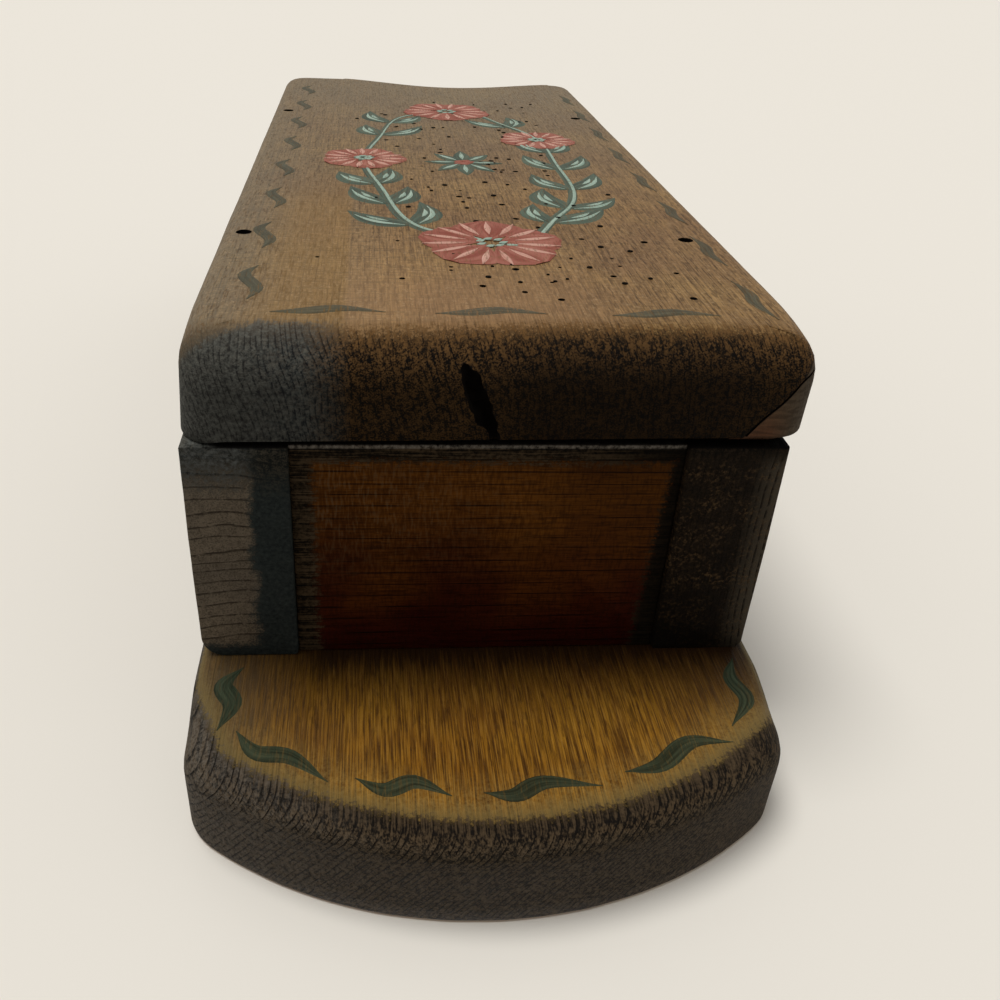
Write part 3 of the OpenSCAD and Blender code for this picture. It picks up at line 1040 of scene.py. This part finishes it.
for turn, size in rose_turns:
    middle = on_wreath(turn)
    for index in range(5):
        angle = math.tau * index / 5 + turn + 0.3
        way = Vector((math.cos(angle), math.sin(angle)))
        path = spoke(middle, way, 0.12 * size, size, 12)
        lay_stroke(petals, path, size, petal, petal_face - petal_rise * index)
        for spread in (-0.42, 0.0, 0.42):
            path = spoke(middle, Matrix.Rotation(spread, 2) @ way, 0.35 * size, 0.95 * size, 8)
            lay_stroke(blush, path, blush_width, swell, blush_face)
    dabs(lights, middle, 7, 0.16 * size, heart_dab, light_width, heart_face)

for index in range(8):
    angle = math.tau * index / 8
    way = Vector((math.cos(angle), 1.3 * math.sin(angle)))
    path = spoke(wreath_centre, way, 0.15 * star_size, star_size, 10)
    lay_stroke(leaves, path, 0.45 * star_size, leaf, leaf_face)
    lay_stroke(lights, path[1:9], light_width, swell, light_face)
dabs(petals, wreath_centre, 5, star_heart, star_dab, star_dab_width, petal_face)

# Sage, mint, rose and blush paints: chalky and opaque where loaded, streaked where the brush ran dry.
sage = brushed_paint("sage_paint", rubbed_wood, "#3C4941", "#566558", 0.45, 0.95)
mint = brushed_paint("mint_paint", rubbed_wood, "#7F9687", "#ABBDAD", 0.5, 0.95)
rose_red = brushed_paint("rose_paint", rubbed_wood, "#83463B", "#A2685A", 0.5, 0.95)
blush_pink = brushed_paint("blush_paint", rubbed_wood, "#B68273", "#D0A695", 0.5, 0.95)
paint_piece("wreath_stems", stems, sage)
paint_piece("wreath_leaves", leaves, sage)
paint_piece("wreath_lights", lights, mint)
paint_piece("rose_petals", petals, rose_red)
paint_piece("rose_lights", blush, blush_pink)


# Soot specks: drops of dark grime, dried on to the painted face of the front board.
# They are small low domes, thickest over the right half of the wreath.
speck_count = 70
speck_across = (-30, 44, 22)
speck_along = (-285, -88)
speck_wide = (0.35, 0.75)
speck_tall = 0.26
speck_sink = 0.05

domes = []
for index in range(speck_count):
    x = luck.triangular(*speck_across)
    z = luck.uniform(*speck_along)
    wide = luck.uniform(*speck_wide)
    lift = Matrix.Translation((x, front_low.y, z)) @ Matrix.Rotation(math.radians(90), 4, "X")
    dome = [(wide, -speck_sink), (0.9 * wide, 0.7 * speck_tall), (0.4 * wide, speck_tall)]
    domes.append(turned(dome, lift, 8))
soot_specks = add_object("soot_specks", closed_mesh("soot_specks", *joined(domes)))
soot_specks.data.materials.append(grime)
soften(soot_specks)
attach(soot_specks, "root")


# Wall behind the pocket: a plain pale plastered surface that the board hangs flat against.
# It takes the pocket's soft shadow, and it is seen from the front only.
wall_size = 12.0
wall_gap = 0.4 * mm
wall_mesh = bpy.data.meshes.new("wall")
wall_mesh.from_pydata([(-wall_size, wall_gap, -wall_size), (wall_size, wall_gap, -wall_size),
                       (wall_size, wall_gap, wall_size), (-wall_size, wall_gap, wall_size)],
                      [], [(0, 1, 2, 3)])
wall = add_object("wall", wall_mesh)
wall.visible_shadow = False
wall.visible_diffuse = False

# Limewashed plaster: matt and cream white, clear from behind so that the back of the pocket can be seen.
limewash, tree, shader = new_material("limewash")
coat(tree, shader, {"Base Color": "#E8E2D7", "Roughness": 0.9, "Specular IOR Level": 0.1})
behind = add(tree, "NewGeometry").outputs["Backfacing"]
shown = add(tree, "MixShader", behind, shader, add(tree, "BsdfTransparent"))
tree.links.new(shown.outputs[0], tree.nodes["Material Output"].inputs["Surface"])
wall_mesh.materials.append(limewash)


# Studio light: one broad soft lamp in front and a little to the left, and a weak one behind.
# An even pale surround fills the shadows, and the camera sees a cream backdrop past the wall.
lamps = [("soft_lamp", 2.0, 30, (0.24, 1.0, -0.06)), ("back_lamp", 1.2, 20, (0.0, -1.0, 0.0))]
for name, energy, angle, way in lamps:
    lamp = bpy.data.objects.new(name, bpy.data.lights.new(name, "SUN"))
    lamp.data.energy = energy
    lamp.data.angle = math.radians(angle)
    lamp.rotation_euler = Vector(way).to_track_quat("-Z", "Y").to_euler()
    scene.collection.objects.link(lamp)

world = bpy.data.worlds.new("studio")
scene.world = world
world.use_nodes = True
tree = world.node_tree
height = add(tree, "SeparateXYZ", add(tree, "TexCoord").outputs["Generated"]).outputs["Z"]
glow = add(tree, "MapRange", height, -1, 1, 0.25, 0.58)
light = add(tree, "Background", "#FFFFFF", glow)
backdrop = add(tree, "Background", "#F0ECE4", 0.9)
ray = add(tree, "LightPath").outputs
seen = add(tree, "Math", ray["Is Camera Ray"], ray["Is Glossy Ray"], operation="MAXIMUM")
seen = add(tree, "Math", seen, ray["Is Transmission Ray"], operation="MAXIMUM")
both = add(tree, "MixShader", seen, light, backdrop)
tree.links.new(both.outputs[0], tree.nodes["World Output"].inputs["Surface"])


# Camera: close to the foot of the pocket and a little to the left of its middle.
# It looks up along the wall and down on to the front board, with a slight roll and shift.
camera_place = (-22.1, -150.7, -466.8)
camera_pitch = math.radians(31.89)
camera_yaw = math.radians(5.63)
camera_roll = math.radians(2.75)
camera_data = bpy.data.cameras.new("camera")
camera_data.sensor_width = 36
camera_data.lens = 34.96
camera_data.shift_x = 0.0471
camera_data.clip_start = 0.01
camera = bpy.data.objects.new("camera", camera_data)
camera.matrix_world = (Matrix.Translation(Vector(camera_place) * mm)
                       @ Matrix.Rotation(camera_yaw, 4, "Y")
                       @ Matrix.Rotation(math.pi - camera_pitch, 4, "X")
                       @ Matrix.Rotation(camera_roll, 4, "Z"))
scene.collection.objects.link(camera)
scene.camera = camera

scene.view_settings.view_transform = "Standard"
